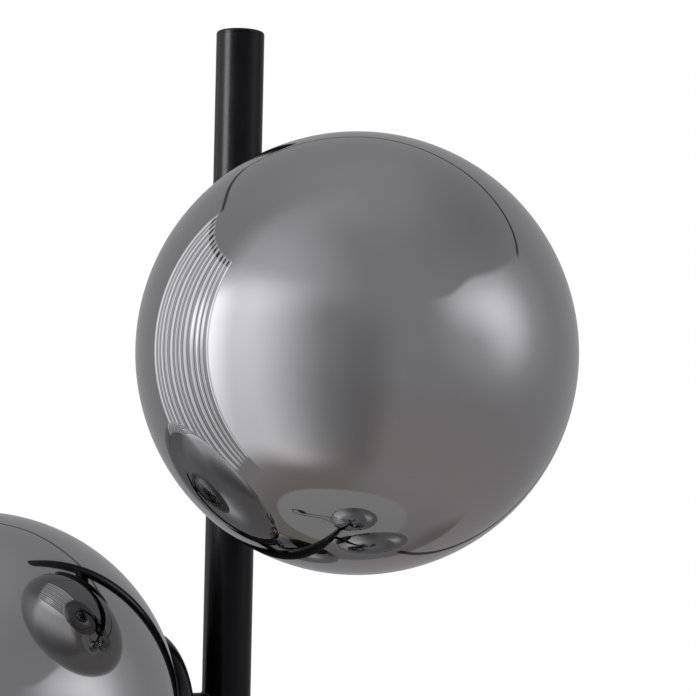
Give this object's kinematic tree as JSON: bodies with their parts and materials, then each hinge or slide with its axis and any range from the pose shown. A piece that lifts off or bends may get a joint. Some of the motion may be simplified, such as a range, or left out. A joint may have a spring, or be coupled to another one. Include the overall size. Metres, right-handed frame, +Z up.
{
  "type": "globe floor lamp",
  "caption": "Tall slim black pole on a round base, with smoked mirror-glass globes set in a spiral round it on short arms with domed holders; floor cord with foot switch, coil and plug.",
  "frame": {"origin": "on the floor, on the pole's axis, under the middle of the base", "axes": "+Z up along the pole; -Y is the front that the picture looks at; +X to the right of that view"},
  "size_m": [0.6612, 0.338, 1.5],
  "materials": {
    "black_powder_coat": "satin black powder coat",
    "smoked_mirror_glass": "smoked glass with a dark mirror coating, high gloss",
    "turned_brass": "turned, satin",
    "white_ceramic": "unglazed white ceramic",
    "bulb_glass": "clear pressed glass",
    "zinc_steel": "bright zinc plate",
    "nickel_pins": "nickel plate",
    "cast_weight": "as cast, painted",
    "foam_rubber_pad": "matt, fine cell",
    "inner_lead": "smooth sheath",
    "black_plastic": "fine spark texture",
    "button_plastic": "smooth, slightly glossy",
    "contact_block": "moulded",
    "cord_black": "smooth black sheath",
    "tie_plastic": "smooth strap"
  },
  "bodies": {
    "lamp": {"pole_lower": "black_powder_coat", "pole_middle": "black_powder_coat", "pole_upper": "black_powder_coat", "pole_cap": "black_powder_coat", "base_cover": "black_powder_coat", "base_collar": "black_powder_coat", "arm_1": "black_powder_coat", "holder_1": "black_powder_coat", "screw_collar_1": "turned_brass", "socket_1": "white_ceramic", "bulb_1": "bulb_glass", "globe_1": "smoked_mirror_glass", "arm_2": "black_powder_coat", "holder_2": "black_powder_coat", "screw_collar_2": "turned_brass", "socket_2": "white_ceramic", "bulb_2": "bulb_glass", "globe_2": "smoked_mirror_glass", "arm_3": "black_powder_coat", "holder_3": "black_powder_coat", "screw_collar_3": "turned_brass", "socket_3": "white_ceramic", "bulb_3": "bulb_glass", "globe_3": "smoked_mirror_glass", "arm_4": "black_powder_coat", "holder_4": "black_powder_coat", "screw_collar_4": "turned_brass", "socket_4": "white_ceramic", "bulb_4": "bulb_glass", "globe_4": "smoked_mirror_glass", "arm_5": "black_powder_coat", "holder_5": "black_powder_coat", "screw_collar_5": "turned_brass", "socket_5": "white_ceramic", "bulb_5": "bulb_glass", "globe_5": "smoked_mirror_glass", "pole_coupler_low": "zinc_steel", "pole_coupler_high": "zinc_steel", "pole_foot_insert": "zinc_steel", "base_tie_tube": "zinc_steel", "base_fixings": "zinc_steel", "arm_nuts": "zinc_steel", "switch_screws": "zinc_steel", "plug_pins": "nickel_pins", "base_weight": "cast_weight", "base_pad": "foam_rubber_pad", "base_bushing": "cord_black", "wiring": "inner_lead", "switch_lower": "black_plastic", "switch_upper": "black_plastic", "plug_body": "black_plastic", "switch_block": "contact_block", "cord_out": "cord_black", "cord_back": "cord_black", "cord_coil": "cord_black", "cord_plug_lead": "cord_black", "cord_tie": "tie_plastic"},
    "foot_button": {"switch_button": "button_plastic"}
  },
  "joints": [
    {"name": "foot_button_press", "type": "slide", "parent": "lamp", "child": "foot_button", "axis": [0, 0, -1], "range_m": [0, 0.003], "stiffness_N_per_m": 800, "springref_m": -0.002}
  ]
}
